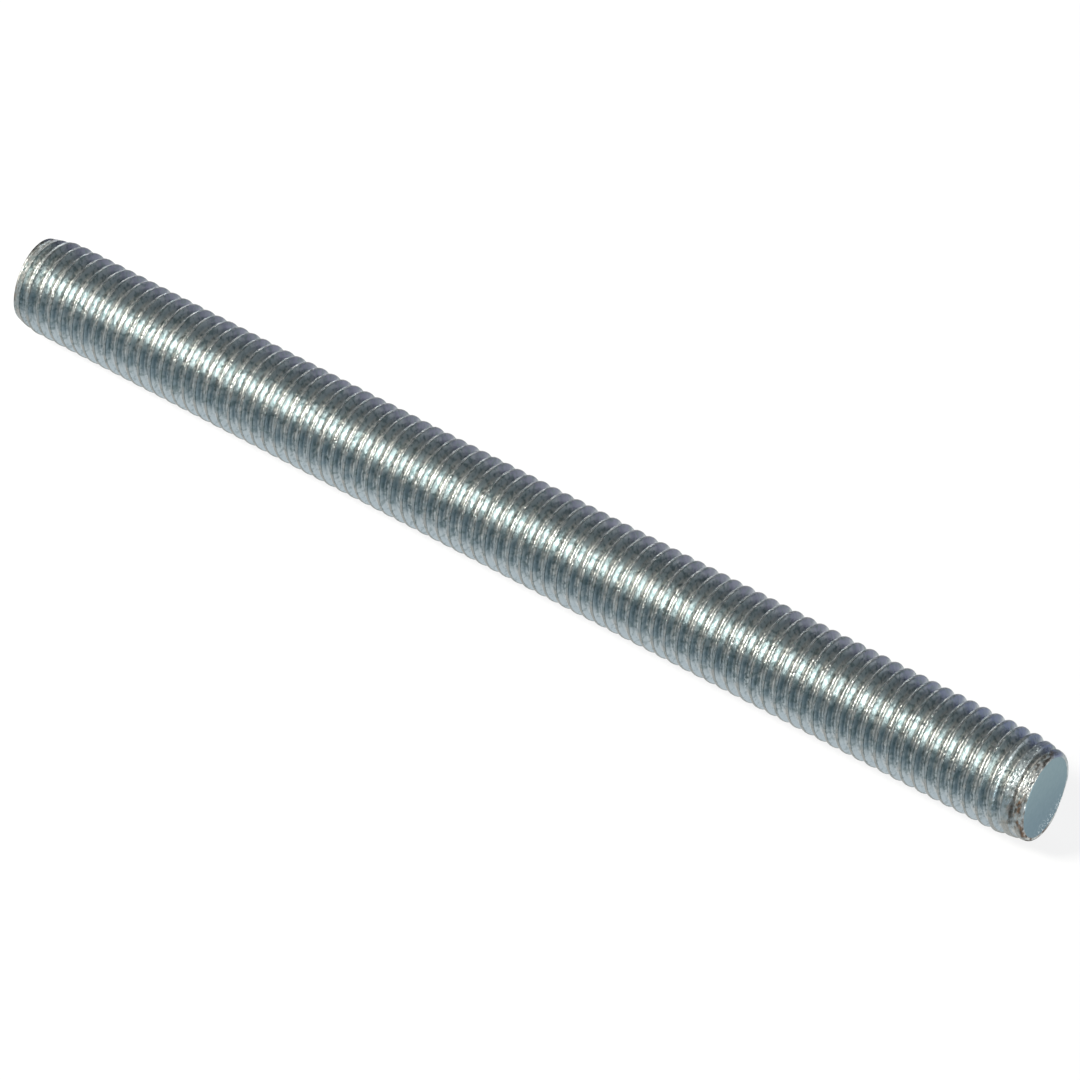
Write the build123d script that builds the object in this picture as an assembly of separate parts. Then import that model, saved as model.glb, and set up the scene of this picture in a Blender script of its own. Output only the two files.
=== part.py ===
from build123d import *

import os

# A straight steel rod, threaded from end to end, lying along X with its lowest line on z = 0.
# The thread is M12 coarse and right-handed, 1.75 mm to the turn. Its crests lie on the rod's
# outer surface, and its grooves are too fine for this solid: it is the rod over its crests.
# Toward both ends the crests are drawn in over the last two threads, which leads a nut on, and
# the rim of each flat end face is rounded.

# Driving sizes, in millimetres
LENGTH = 150.0
CREST_DIAMETER = 12.0
END_DIAMETER = 10.5
END_TAPER_LENGTH = 4.0
FACE_RIM_RADIUS = 0.6


def half_section():
    """The section on one side of the rod's axis, from end face to end face, drawn with the axis on X."""
    crest = CREST_DIAMETER / 2
    end_radius = END_DIAMETER / 2
    end = LENGTH / 2
    taper_start = end - END_TAPER_LENGTH
    outline = Polyline(
        (-end, 0),
        (-end, end_radius),
        (-taper_start, crest),
        (taper_start, crest),
        (end, end_radius),
        (end, 0),
        close=True,
    )
    section = make_face(outline)
    face_corners = section.vertices().group_by(Axis.Y)[1]
    return fillet(face_corners, FACE_RIM_RADIUS)


def threaded_rod():
    """The section turned about the axis, then raised until the crests touch the ground."""
    return Pos(0, 0, CREST_DIAMETER / 2) * revolve(half_section(), Axis.X)


os.makedirs("parts", exist_ok=True)
export_step(threaded_rod(), "parts/threaded_rod.step")
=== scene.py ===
from collections import namedtuple
from math import cos, pi, radians, sin, tan
from types import SimpleNamespace

import bmesh
import bpy
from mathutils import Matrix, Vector


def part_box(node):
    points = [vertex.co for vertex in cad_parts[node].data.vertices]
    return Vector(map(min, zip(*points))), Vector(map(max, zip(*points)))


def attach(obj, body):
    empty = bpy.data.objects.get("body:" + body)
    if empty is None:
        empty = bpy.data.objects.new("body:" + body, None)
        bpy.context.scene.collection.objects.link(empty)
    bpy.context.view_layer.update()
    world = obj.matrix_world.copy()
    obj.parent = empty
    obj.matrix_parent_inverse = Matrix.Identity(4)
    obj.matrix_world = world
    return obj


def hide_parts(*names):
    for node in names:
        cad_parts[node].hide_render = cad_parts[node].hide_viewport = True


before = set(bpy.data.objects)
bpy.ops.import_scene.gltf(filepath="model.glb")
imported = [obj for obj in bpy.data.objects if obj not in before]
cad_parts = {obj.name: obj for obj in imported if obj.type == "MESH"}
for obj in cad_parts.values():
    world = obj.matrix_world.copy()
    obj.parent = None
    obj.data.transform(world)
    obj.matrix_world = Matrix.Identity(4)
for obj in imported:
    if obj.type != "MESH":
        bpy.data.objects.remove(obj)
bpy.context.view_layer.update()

# The rod is modelled in millimetres about its own axis, and brought to metres and to its place
# on the ground when its shape is finished.
MM = 0.001
rod_low, rod_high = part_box("threaded_rod")
ROD_END = rod_high.x / MM
CREST_RADIUS = (rod_high.z - rod_low.z) / 2 / MM

# M12 coarse thread, right-handed and rolled: its crests are rounded and carry the seam that the
# rolling dies leave. On the +Y side of the rod, one of them passes CREST_PLACE.
PITCH = 1.75
FLANK_ANGLE = radians(30)
CREST_FLAT = 0.28
CREST_ROUNDING = 0.095
CREST_SEGMENTS = 4
SEAM_WIDTH = 0.09
SEAM_DEPTH = 0.018
ROOT_FLAT = 0.26
ROOT_ROUNDING = 0.12
ROOT_SEGMENTS = 3
CREST_PLACE = 73.55

# How the thread is wound: with turns to spare at both ends, closed a little past the rod's ends
STEPS_PER_TURN = 50
SPARE_TURNS = 3
CLOSING_MARGIN = 0.7 * PITCH

# Corners nearer than NEAR are one corner, neighbouring turns are joined over JOINING_GAP, and
# edges that the cut leaves shorter than SLIVER_EDGE are dissolved.
NEAR = 1e-4
JOINING_GAP = 0.004
SLIVER_EDGE = 0.006

# Shallow dents all over the rod, and the angle up to which its faces are shaded as one surface
UNEVENNESS = 0.03
DENT_SIZE = 2.5
SMOOTH_ANGLE = radians(42)

# The blank that the thread is cut to is wider than the thread, apart from its ends. Each end has
# its side on X, the length over which it is drawn in, the radius of its face before the rim is
# rounded, its angles out of square, the place of its face off the axis, and the rounding.
BLANK_RADIUS = 6.4
BLANK_SIDES = 144
RIM_SEGMENTS = 4
FACE_INSET = 0.3
End = namedtuple("End", "side taper radius skew lean drift rim")
ENDS = (
    End(1, 6.65, 5.32, radians(5.3), radians(1.4), (0.19, -0.2), 0.42),
    End(-1, 5.2, 5.23, radians(7.6), radians(-1.4), (-0.19, -0.01), 0.35),
)

# Ranges of the radius over which the crests, the roots and the end faces fade in
CREST_RADII = (5.80, 5.93)
ROOT_RADII = (5.38, 5.08)
FACE_RADII = (4.86, 4.78)

# Ranges of the distance from the middle of the rod, over which the crests are drawn in by
# DRAWN_IN_DEPTH, the plating gets worn, and the last turn starts to rust
DRAWN_IN_PLACES = (70.4, 75.0)
DRAWN_IN_DEPTH = 0.76
WORN_PLACES = (67.0, 72.5)
LAST_TURN_PLACES = (72.2, 73.8)

# Sides of the rod, in degrees from +Y to +Z
LIT_SIDE = 125
# The side along which a band of blue shade is painted
SHADE_BAND_SIDE = 166
# The side toward which the end faces are painted paler, as if lit
LIT_FACE_SIDE = 75
FLECKED_FACE_SIDE = 285
FRONT_RUST_SIDE = 165
TOP_RUST_SIDE = 88
EDGE_RUST_SIDE = 240

# Sizes of the grains in the plating, in millimetres
CLOUD_SIZE = 1.4
MOTTLE_SIZE = 0.55
STAIN_SIZE = 0.34
FLECK_SIZE = 0.24
RUST_SIZE = 0.75
RUST_TONE_SIZE = 0.5
SHEEN_SIZE = 0.6
WAVE_SIZE = 1.2
SPECKLE_SIZE = 0.36
PITS_PER_MM = 2.6
STREAK_SCALE = (1.5, 0.75, 0.75)

# Heights of the relief in the plating, in millimetres
WAVE_HEIGHT = 0.08
SPECKLE_HEIGHT = 0.09
PIT_HEIGHT = 0.11

# Colours of the plating, the end faces and the rust, and of the shade, highlights and reflections painted on
# them
CYAN_GREY = (0.45, 0.50, 0.51, 1)
# Painted reflection: the bluer grey that the lower side of the thread is tinted with
LOWER_REFLECTION_BLUE = (0.395, 0.472, 0.52, 1)
# Painted shade behind the top of the rod: dark lilac, turning violet toward the +X end
SHADE_LILAC = (0.165, 0.178, 0.245, 1)
SHADE_VIOLET = (0.125, 0.16, 0.265, 1)
# Painted shade: the cloudy dark blue of the band along the front of the rod
SHADE_BAND_BLUE = (0.165, 0.235, 0.275, 1)
DARK_TEAL = (0.13, 0.18, 0.185, 1)
CREST_GREY = (0.32, 0.335, 0.325, 1)
# Painted highlight: the pale grey of the roots on the lit side and at the bottom
ROOT_HIGHLIGHT_GREY = (0.55, 0.555, 0.53, 1)
# Dark stains, partly painted shade: on the lit side they stand in for the dark speckle of the highlight
SOOT_AND_PAINTED_SPECKLE = (0.09, 0.095, 0.09, 1)
# Painted light and shade on the end faces: paler toward the top, darker toward the bottom
FACE_LIT = (0.208, 0.29, 0.318, 1)
FACE_SHADED = (0.165, 0.24, 0.28, 1)
FLECK_WHITE = (0.70, 0.76, 0.78, 1)
RUST_BROWN = (0.09, 0.046, 0.02, 1)
RUST_BLACK = (0.022, 0.018, 0.014, 1)

# The studio: a floor of white paper, a plain sky and three soft lamps. Each lamp has its name,
# its direction from the rod, its distance, size, power and colour, in metres and watts.
FLOOR_RADIUS = 3
FLOOR_SIDES = 96
PAPER_WHITE = (0.86, 0.86, 0.86, 1)
PURE_WHITE = (1, 1, 1, 1)
SEEN_WHITE_SHARE = 0.85
SKY_COLOR = (0.19, 0.206, 0.233, 1)
LAMPS = (
    ("key", (-0.47, -0.51, 0.73), 0.9, (0.26, 0.26), 13.6, (1, 0.985, 0.92)),
    ("side", (1.0, 0.05, 0.07), 0.6, (0.16, 0.08), 1.9, (1, 1, 0.98)),
    ("back", (-0.68, 0.70, 0.22), 0.7, (0.35, 0.16), 1.6, (0.95, 0.98, 1)),
)

# The camera, as far away and at the same angles as the photograph's
CAMERA_PLACE = (0.40205, -0.51140, 0.57597)
CAMERA_DIP = radians(41.325)
CAMERA_TURN = radians(37.973)
CAMERA_LENS = 247.78
CAMERA_FILM = 36
CAMERA_NEAR = 0.05


def deselect_all():
    """Leaves nothing selected, so that the next operator acts on its own piece alone."""
    if bpy.context.object and bpy.context.object.mode != "OBJECT":
        bpy.ops.object.mode_set(mode="OBJECT")
    bpy.ops.object.select_all(action="DESELECT")


def take(piece):
    """Makes a piece the only selected one."""
    deselect_all()
    piece.select_set(True)
    bpy.context.view_layer.objects.active = piece


def select_where(piece, kind, wanted):
    """In edit mode, selects the vertices or faces for which wanted(element) is true."""
    bpy.ops.mesh.select_mode(type=kind)
    bpy.ops.mesh.select_all(action="DESELECT")
    shape = bmesh.from_edit_mesh(piece.data)
    elements = {"VERT": shape.verts, "FACE": shape.faces}[kind]
    for element in elements:
        if wanted(element):
            element.select_set(True)
    shape.select_flush_mode()
    bmesh.update_edit_mesh(piece.data)


def apply_modifier(piece, kind, **settings):
    """Adds a modifier with these settings and applies it."""
    take(piece)
    modifier = piece.modifiers.new(kind.lower(), kind)
    for name, value in settings.items():
        setattr(modifier, name, value)
    bpy.ops.object.modifier_apply(modifier=modifier.name)


def thread_section():
    """One pitch of the thread as a line of edges, from the middle of a flank over the crest and the root."""
    rise = 1 / tan(FLANK_ANGLE)
    crest = CREST_RADIUS - UNEVENNESS
    half_flat = CREST_FLAT / 2
    half_root = ROOT_FLAT / 2
    root = crest - (PITCH / 2 - half_root - half_flat) * rise
    mid_flank = (half_flat + PITCH / 2) / 2
    mid_radius = crest - (mid_flank - half_flat) * rise
    line = [
        (-mid_flank, mid_radius),
        (-half_flat, crest),
        (-SEAM_WIDTH / 2, crest),
        (0, crest - SEAM_DEPTH),
        (SEAM_WIDTH / 2, crest),
        (half_flat, crest),
        (mid_flank, mid_radius),
        (PITCH / 2 - half_root, root),
        (PITCH / 2 + half_root, root),
        (PITCH - mid_flank, mid_radius),
    ]
    deselect_all()
    bpy.ops.mesh.primitive_plane_add(size=1)
    section = bpy.context.object
    section.name = "rolled_thread"
    bpy.ops.object.mode_set(mode="EDIT")
    bpy.ops.mesh.select_mode(type="VERT")
    bpy.ops.mesh.merge(type="CENTER")
    bpy.ops.transform.translate(value=(line[0][0], line[0][1], 0))
    for before, after in zip(line, line[1:]):
        step = (after[0] - before[0], after[1] - before[1], 0)
        bpy.ops.mesh.extrude_region_move(TRANSFORM_OT_translate={"value": step})

    def crest_corner(vertex):
        return abs(abs(vertex.co.x) - half_flat) < NEAR and abs(vertex.co.y - crest) < NEAR

    def root_corner(vertex):
        return abs(vertex.co.y - root) < NEAR

    select_where(section, "VERT", crest_corner)
    bpy.ops.mesh.bevel(offset=CREST_ROUNDING, segments=CREST_SEGMENTS, affect="VERTICES")
    select_where(section, "VERT", root_corner)
    bpy.ops.mesh.bevel(offset=ROOT_ROUNDING, segments=ROOT_SEGMENTS, affect="VERTICES")
    bpy.ops.mesh.select_all(action="SELECT")
    bpy.ops.mesh.remove_doubles(threshold=NEAR)
    turns_back = int((CREST_PLACE + ROD_END) / PITCH) + SPARE_TURNS
    bpy.ops.transform.translate(value=(CREST_PLACE - turns_back * PITCH, 0, 0))
    bpy.ops.object.mode_set(mode="OBJECT")
    return section


def wind_thread(section):
    """Winds the section round the axis for the whole rod and some spare, and closes its ends."""
    start = min(v.co.x for v in section.data.vertices)
    turns = int((ROD_END - start) / PITCH) + SPARE_TURNS
    apply_modifier(
        section,
        "SCREW",
        axis="X",
        angle=2 * pi,
        screw_offset=PITCH,
        iterations=turns,
        steps=STEPS_PER_TURN,
        render_steps=STEPS_PER_TURN,
    )
    bpy.ops.object.mode_set(mode="EDIT")
    bpy.ops.mesh.select_all(action="SELECT")
    bpy.ops.mesh.remove_doubles(threshold=JOINING_GAP)
    for side in (-1, 1):
        bpy.ops.mesh.select_all(action="SELECT")
        bpy.ops.mesh.bisect(
            plane_co=(side * (ROD_END + CLOSING_MARGIN), 0, 0),
            plane_no=(side, 0, 0),
            use_fill=True,
            clear_outer=True,
        )
    bpy.ops.mesh.select_all(action="SELECT")
    bpy.ops.mesh.normals_make_consistent(inside=False)
    bpy.ops.object.mode_set(mode="OBJECT")
    return section


def face_distance(end):
    """How far the middle of an end face lies from the rod's middle, for its rim to reach the rod's end."""
    return ROD_END - end.radius * tan(end.skew)


def cut_end(blank, end):
    """Draws one end of the blank in over its last threads and cuts it a little out of square."""

    def end_face(face):
        return face.normal.x * end.side > 0.5

    def flat_face(face):
        return end_face(face) and len(face.verts) > 4

    select_where(blank, "FACE", end_face)
    bpy.ops.mesh.extrude_region_move(TRANSFORM_OT_translate={"value": (end.side * end.taper, 0, 0)})
    bpy.ops.transform.resize(value=(1, end.radius / BLANK_RADIUS, end.radius / BLANK_RADIUS))
    bpy.ops.transform.translate(value=(0, *end.drift))
    middle = (end.side * face_distance(end), *end.drift)
    bpy.ops.transform.rotate(value=-end.skew, orient_axis="Z", center_override=middle)
    bpy.ops.transform.rotate(value=end.lean, orient_axis="Y", center_override=middle)
    bpy.ops.mesh.bevel(offset=end.rim, segments=RIM_SEGMENTS, affect="EDGES")
    select_where(blank, "FACE", flat_face)
    bpy.ops.mesh.inset(thickness=FACE_INSET)


def cut_blank():
    """The body that bounds the rod: wider than the thread, apart from its two ends."""
    right, left = (end.side * (face_distance(end) - end.taper) for end in ENDS)
    deselect_all()
    bpy.ops.mesh.primitive_cylinder_add(
        vertices=BLANK_SIDES,
        radius=BLANK_RADIUS,
        depth=right - left,
        location=((right + left) / 2, 0, 0),
        rotation=(0, pi / 2, 0),
    )
    blank = bpy.context.object
    blank.name = "cut_blank"
    bpy.ops.object.transform_apply(location=True, rotation=True, scale=True)
    bpy.ops.object.mode_set(mode="EDIT")
    for end in ENDS:
        cut_end(blank, end)
    bpy.ops.object.mode_set(mode="OBJECT")
    return blank


def build_rod():
    """The rod: a wound thread cut to the blank, made slightly uneven, and brought to its place."""
    rod = wind_thread(thread_section())
    blank = cut_blank()
    apply_modifier(rod, "BOOLEAN", operation="INTERSECT", object=blank, solver="EXACT")
    bpy.data.objects.remove(blank)
    dents = bpy.data.textures.new("dents", "CLOUDS")
    dents.noise_scale = DENT_SIZE
    apply_modifier(rod, "DISPLACE", texture=dents, texture_coords="LOCAL", strength=UNEVENNESS, mid_level=0.5)
    take(rod)
    bpy.ops.object.mode_set(mode="EDIT")
    bpy.ops.mesh.select_all(action="SELECT")
    bpy.ops.transform.resize(value=(MM, MM, MM), center_override=(0, 0, 0))
    bpy.ops.transform.translate(value=(0, 0, rod_low.z + CREST_RADIUS * MM))
    bpy.ops.mesh.dissolve_degenerate(threshold=SLIVER_EDGE * MM)
    bpy.ops.object.mode_set(mode="OBJECT")
    bpy.ops.object.shade_smooth_by_angle(angle=SMOOTH_ANGLE)
    return rod


def put(tree, kind, inputs=(), **settings):
    """Adds a node, sets its settings, and sets or links each named or numbered input."""
    node = tree.nodes.new("ShaderNode" + kind)
    for name, value in settings.items():
        setattr(node, name, value)
    for socket, value in dict(inputs).items():
        if isinstance(value, bpy.types.NodeSocket):
            tree.links.new(value, node.inputs[socket])
        else:
            node.inputs[socket].default_value = value
    return node


def clamped(tree, operation, first, second):
    """Two values brought together by an operation, and held between 0 and 1."""
    return put(tree, "Math", {0: first, 1: second}, operation=operation, use_clamp=True).outputs[0]


def plus(tree, first, second):
    """The sum of two values, at most 1."""
    return clamped(tree, "ADD", first, second)


def minus(tree, first, second):
    """The first value less the second, at least 0."""
    return clamped(tree, "SUBTRACT", first, second)


def times(tree, first, second):
    """The product of two values."""
    return clamped(tree, "MULTIPLY", first, second)


def larger(tree, first, second):
    """The larger of two values."""
    return clamped(tree, "MAXIMUM", first, second)


def magnitude(tree, value):
    """A value without its sign."""
    return put(tree, "Math", {0: value}, operation="ABSOLUTE").outputs[0]


def fade(tree, value, start, end, low=0.0, high=1.0):
    """A value that goes smoothly from low to high as a distance or a noise goes from start to end."""
    inputs = {"Value": value, "From Min": start, "From Max": end, "To Min": low, "To Max": high}
    return put(tree, "MapRange", inputs, interpolation_type="SMOOTHSTEP").outputs["Result"]


def blend(tree, share, first, second):
    """A colour between two colours."""
    mix = put(tree, "Mix", data_type="RGBA")
    for socket, value in zip((mix.inputs[0], mix.inputs[6], mix.inputs[7]), (share, first, second)):
        if isinstance(value, bpy.types.NodeSocket):
            tree.links.new(value, socket)
        else:
            socket.default_value = value
    return mix.outputs[2]


def grain(tree, place, size, detail=2.0):
    """Cloudy noise with grains of about this size, in millimetres."""
    inputs = {"Vector": place, "Scale": 1 / size, "Detail": detail}
    return put(tree, "TexNoise", inputs).outputs["Fac"]


def bump(tree, height, distance, strength, normal=None):
    """A normal tilted by a relief of this greatest height, in millimetres, over another normal."""
    inputs = {"Height": height, "Distance": distance * MM, "Strength": strength}
    if normal is not None:
        inputs["Normal"] = normal
    return put(tree, "Bump", inputs).outputs[0]


def toward(tree, place, angle):
    """How far a place lies from the axis toward one side of the rod, given in degrees from +Y to +Z."""
    side = (0, cos(radians(angle)), sin(radians(angle)))
    return put(tree, "VectorMath", {0: place, 1: side}, operation="DOT_PRODUCT").outputs["Value"]


def rod_zones(tree):
    """A place on the rod in millimetres about its axis, and the share of each kind of surface there."""
    coordinates = put(tree, "TexCoord").outputs["Object"]
    scale = 1 / MM
    axis_height = -(rod_low.z * scale + CREST_RADIUS)
    inputs = {"Vector": coordinates, "Location": (0, 0, axis_height), "Scale": (scale, scale, scale)}
    place = put(tree, "Mapping", inputs).outputs["Vector"]
    parts = put(tree, "SeparateXYZ", {0: place}).outputs
    across = put(tree, "CombineXYZ", {"Y": parts["Y"], "Z": parts["Z"]})
    radius = put(tree, "VectorMath", {0: across.outputs[0]}, operation="LENGTH").outputs["Value"]
    from_middle = magnitude(tree, parts["X"])
    start, end = DRAWN_IN_PLACES
    inputs = {"Value": from_middle, "From Min": start, "From Max": end, "To Max": DRAWN_IN_DEPTH}
    drawn_in = put(tree, "MapRange", inputs).outputs["Result"]
    level = put(tree, "Math", {0: radius, 1: drawn_in}).outputs[0]
    on_crest = fade(tree, level, *CREST_RADII)
    on_face = fade(tree, radius, *FACE_RADII)
    in_root = minus(tree, fade(tree, radius, *ROOT_RADII), on_face)
    worn = fade(tree, from_middle, *WORN_PLACES, 0.0, 0.8)
    pitted = larger(tree, larger(tree, on_crest, worn), in_root)
    return SimpleNamespace(
        place=place,
        streaks=put(tree, "Mapping", {"Vector": place, "Scale": STREAK_SCALE}).outputs["Vector"],
        x=parts["X"],
        y=parts["Y"],
        z=parts["Z"],
        from_middle=from_middle,
        below=fade(tree, parts["Z"], 1.0, -3.0, 0.0, 0.8),
        on_crest=on_crest,
        in_root=in_root,
        on_face=on_face,
        worn=worn,
        pitted=minus(tree, pitted, on_face),
    )


def thread_color(tree, zones):
    """The thread: blue-grey, with grey crests, a painted highlight on the roots of the lit side and the
    bottom, painted lilac shade behind the top, and a bluer lower side as a painted reflection.
    """
    # Painted shade: the back of the rod near the top is darkened to lilac, violet toward +X, with less grey
    # on its crests
    back_shade = fade(tree, zones.y, 0.7, 2.4, 0.0, 0.95)
    back_shade = times(tree, back_shade, fade(tree, zones.z, 2.6, 4.2))
    # Painted reflection: the thread is tinted bluer toward its lower side
    color = blend(tree, zones.below, CYAN_GREY, LOWER_REFLECTION_BLUE)
    # Painted highlight: the roots are made pale on the lit side and toward the bottom
    lit = fade(tree, toward(tree, zones.place, LIT_SIDE), 2.6, 4.6, 0.1, 1.0)
    lit = larger(tree, lit, fade(tree, zones.z, -0.5, -2.5, 0.0, 0.8))
    color = blend(tree, times(tree, zones.in_root, lit), color, ROOT_HIGHLIGHT_GREY)
    back_shade_color = blend(tree, fade(tree, zones.x, 40.0, 70.0), SHADE_LILAC, SHADE_VIOLET)
    color = blend(tree, back_shade, color, back_shade_color)
    crest_share = minus(tree, zones.on_crest, times(tree, back_shade, 0.5))
    return blend(tree, crest_share, color, CREST_GREY)


def with_shade_band_and_mottles(tree, zones, color):
    """A colour with a cloudy band of painted blue shade along the front, dark mottles, and stains where it is
    pitted, painted mostly on the lit side.
    """
    # Painted shade: a cloudy dark blue band along the front, below the lit side, lighter on crests and roots
    off_shade_band = magnitude(tree, toward(tree, zones.place, SHADE_BAND_SIDE - 90))
    shade_band = fade(tree, off_shade_band, 2.7, 0.9)
    shade_band = times(tree, shade_band, fade(tree, zones.y, -2.0, -4.0))
    cloud = fade(tree, grain(tree, zones.place, CLOUD_SIZE), 0.25, 0.6, 0.35, 0.85)
    shade_band = times(tree, shade_band, cloud)
    bare = larger(tree, zones.in_root, zones.on_crest)
    shade_band = minus(tree, shade_band, times(tree, bare, 0.3))
    color = blend(tree, shade_band, color, SHADE_BAND_BLUE)
    mottle = fade(tree, grain(tree, zones.place, MOTTLE_SIZE, 4.0), 0.47, 0.65, 0.0, 0.70)
    mottle = minus(tree, mottle, times(tree, zones.below, 0.4))
    color = blend(tree, mottle, color, DARK_TEAL)
    stain_and_painted_speckle = fade(tree, grain(tree, zones.streaks, STAIN_SIZE), 0.50, 0.66)
    stain_and_painted_speckle = times(tree, stain_and_painted_speckle, times(tree, zones.pitted, 0.6))
    # Partly painted shade: the stains are kept mostly to the lit side, where they stand in for the dark
    # speckle of the highlight
    lit = fade(tree, toward(tree, zones.place, LIT_SIDE), 3.3, 5.0, 0.12, 1.0)
    return blend(tree, times(tree, stain_and_painted_speckle, lit), color, SOOT_AND_PAINTED_SPECKLE)


def with_faces(tree, zones, color):
    """A colour with that of the flat end faces, with painted light and shade that leaves them paler toward
    the top, and white flecks low down.
    """
    # Painted light and shade: the end faces are paler toward the top and darker toward the bottom
    face_light = fade(tree, toward(tree, zones.place, LIT_FACE_SIDE), -4.0, 4.0)
    color = blend(tree, zones.on_face, color, blend(tree, face_light, FACE_SHADED, FACE_LIT))
    flecks = fade(tree, grain(tree, zones.place, FLECK_SIZE), 0.59, 0.64)
    flecks = times(tree, flecks, fade(tree, toward(tree, zones.place, FLECKED_FACE_SIDE), 2.5, 4.0))
    return blend(tree, times(tree, flecks, zones.on_face), color, FLECK_WHITE)


def rim_rust(tree, zones):
    """How rusty a place on the last turn is, and the rust's colour."""
    rim = minus(tree, fade(tree, zones.from_middle, *LAST_TURN_PLACES), zones.on_face)
    front_spot = fade(tree, toward(tree, zones.place, FRONT_RUST_SIDE), 4.2, 5.1)
    top_spot = fade(tree, toward(tree, zones.place, TOP_RUST_SIDE), 4.3, 5.1)
    edge_line = fade(tree, zones.x, 74.35, 74.75)
    edge_line = times(tree, edge_line, fade(tree, toward(tree, zones.place, EDGE_RUST_SIDE), 0.5, 3.5))
    rusty = larger(tree, larger(tree, front_spot, top_spot), edge_line)
    rusty = larger(tree, rusty, 0.06)
    patches = fade(tree, grain(tree, zones.streaks, RUST_SIZE, 5.0), 0.36, 0.60)
    rust = times(tree, times(tree, rim, rusty), patches)
    dark_share = fade(tree, grain(tree, zones.streaks, RUST_TONE_SIZE, 4.0), 0.40, 0.60)
    dark_share = larger(tree, dark_share, top_spot)
    return rust, blend(tree, dark_share, RUST_BROWN, RUST_BLACK)


def roughness(tree, zones, rust):
    """The plating's roughness, higher where it is pitted, worn or rusty and on the end faces."""
    rough = fade(tree, grain(tree, zones.place, SHEEN_SIZE, 3.0), 0.3, 0.7, 0.32, 0.40)
    for zone, share in ((zones.pitted, 0.05), (zones.worn, 0.10), (rust, 0.3), (zones.on_face, 0.2)):
        rough = plus(tree, rough, times(tree, zone, share))
    return rough


def relief(tree, zones):
    """The plating's fine relief: soft waves, speckle, and pits on crests, in roots and at the ends."""
    normal = bump(tree, grain(tree, zones.place, WAVE_SIZE, 1.0), WAVE_HEIGHT, 0.5)
    share = plus(tree, times(tree, zones.pitted, 0.6), 0.35)
    share = minus(tree, share, zones.on_face)
    speckle = times(tree, grain(tree, zones.streaks, SPECKLE_SIZE), share)
    normal = bump(tree, speckle, SPECKLE_HEIGHT, 0.8, normal)
    pits = put(tree, "TexVoronoi", {"Vector": zones.streaks, "Scale": PITS_PER_MM}).outputs["Distance"]
    deep = plus(tree, times(tree, zones.pitted, 0.35), times(tree, zones.worn, 0.25))
    deep = minus(tree, deep, zones.on_face)
    return bump(tree, times(tree, fade(tree, pits, 0.05, 0.5), deep), PIT_HEIGHT, 0.8, normal)


def zinc_plating():
    """Bright zinc plating: blue-grey, speckled, with a little rust at the end rims, and with painted shade,
    highlights and reflections: lilac behind the top, a blue band along the front, pale roots on the lit side.
    """
    finish = bpy.data.materials.new("zinc_plating")
    finish.use_nodes = True
    tree = finish.node_tree
    zones = rod_zones(tree)
    color = thread_color(tree, zones)
    color = with_shade_band_and_mottles(tree, zones, color)
    color = with_faces(tree, zones, color)
    rust, rust_color = rim_rust(tree, zones)
    shader_inputs = tree.nodes["Principled BSDF"].inputs
    tree.links.new(blend(tree, rust, color, rust_color), shader_inputs["Base Color"])
    tree.links.new(minus(tree, 1.0, rust), shader_inputs["Metallic"])
    tree.links.new(roughness(tree, zones, rust), shader_inputs["Roughness"])
    tree.links.new(relief(tree, zones), shader_inputs["Normal"])
    return finish


def build_floor():
    """A wide pale floor under the rod. What sees it straight or by reflection sees it nearly white."""
    deselect_all()
    bpy.ops.mesh.primitive_circle_add(vertices=FLOOR_SIDES, radius=FLOOR_RADIUS, fill_type="NGON")
    floor = bpy.context.object
    floor.name = "floor"
    paper = bpy.data.materials.new("white_paper")
    paper.use_nodes = True
    tree = paper.node_tree
    tree.nodes.clear()
    path = put(tree, "LightPath").outputs
    seen = plus(tree, path["Is Camera Ray"], path["Is Glossy Ray"])
    seen = plus(tree, seen, path["Is Transmission Ray"])
    share = times(tree, seen, SEEN_WHITE_SHARE)
    matt = put(tree, "BsdfDiffuse", {"Color": PAPER_WHITE})
    white = put(tree, "Emission", {"Color": PURE_WHITE, "Strength": 1.0})
    mix = put(tree, "MixShader", {0: share, 1: matt.outputs[0], 2: white.outputs[0]})
    put(tree, "OutputMaterial", {"Surface": mix.outputs[0]})
    floor.data.materials.append(paper)


def add_lamp(name, direction, distance, size, power, color):
    """A soft rectangular lamp that faces the rod from one direction."""
    data = bpy.data.lights.new(name, "AREA")
    data.shape = "RECTANGLE"
    data.size, data.size_y = size
    data.energy = power
    data.color = color
    lamp = bpy.data.objects.new(name, data)
    bpy.context.scene.collection.objects.link(lamp)
    place = Vector(direction).normalized()
    lamp.location = place * distance
    lamp.rotation_euler = place.to_track_quat("Z", "Y").to_euler()


def add_camera():
    """The camera, at the photograph's viewing angle and distance."""
    data = bpy.data.cameras.new("camera")
    data.sensor_fit = "HORIZONTAL"
    data.sensor_width = CAMERA_FILM
    data.lens = CAMERA_LENS
    data.clip_start = CAMERA_NEAR
    camera = bpy.data.objects.new("camera", data)
    bpy.context.scene.collection.objects.link(camera)
    camera.location = CAMERA_PLACE
    camera.rotation_euler = (pi / 2 - CAMERA_DIP, 0, CAMERA_TURN)
    bpy.context.scene.camera = camera


def light_world():
    """A plain, slightly blue sky that gives the rod its soft light from all round."""
    world = bpy.data.worlds.new("studio")
    world.use_nodes = True
    world.node_tree.nodes["Background"].inputs["Color"].default_value = SKY_COLOR
    bpy.context.scene.world = world


rod = build_rod()
rod.data.materials.append(zinc_plating())
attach(rod, "root")
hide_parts("threaded_rod")

build_floor()
light_world()
for lamp_settings in LAMPS:
    add_lamp(*lamp_settings)
add_camera()
bpy.context.scene.view_settings.view_transform = "Standard"
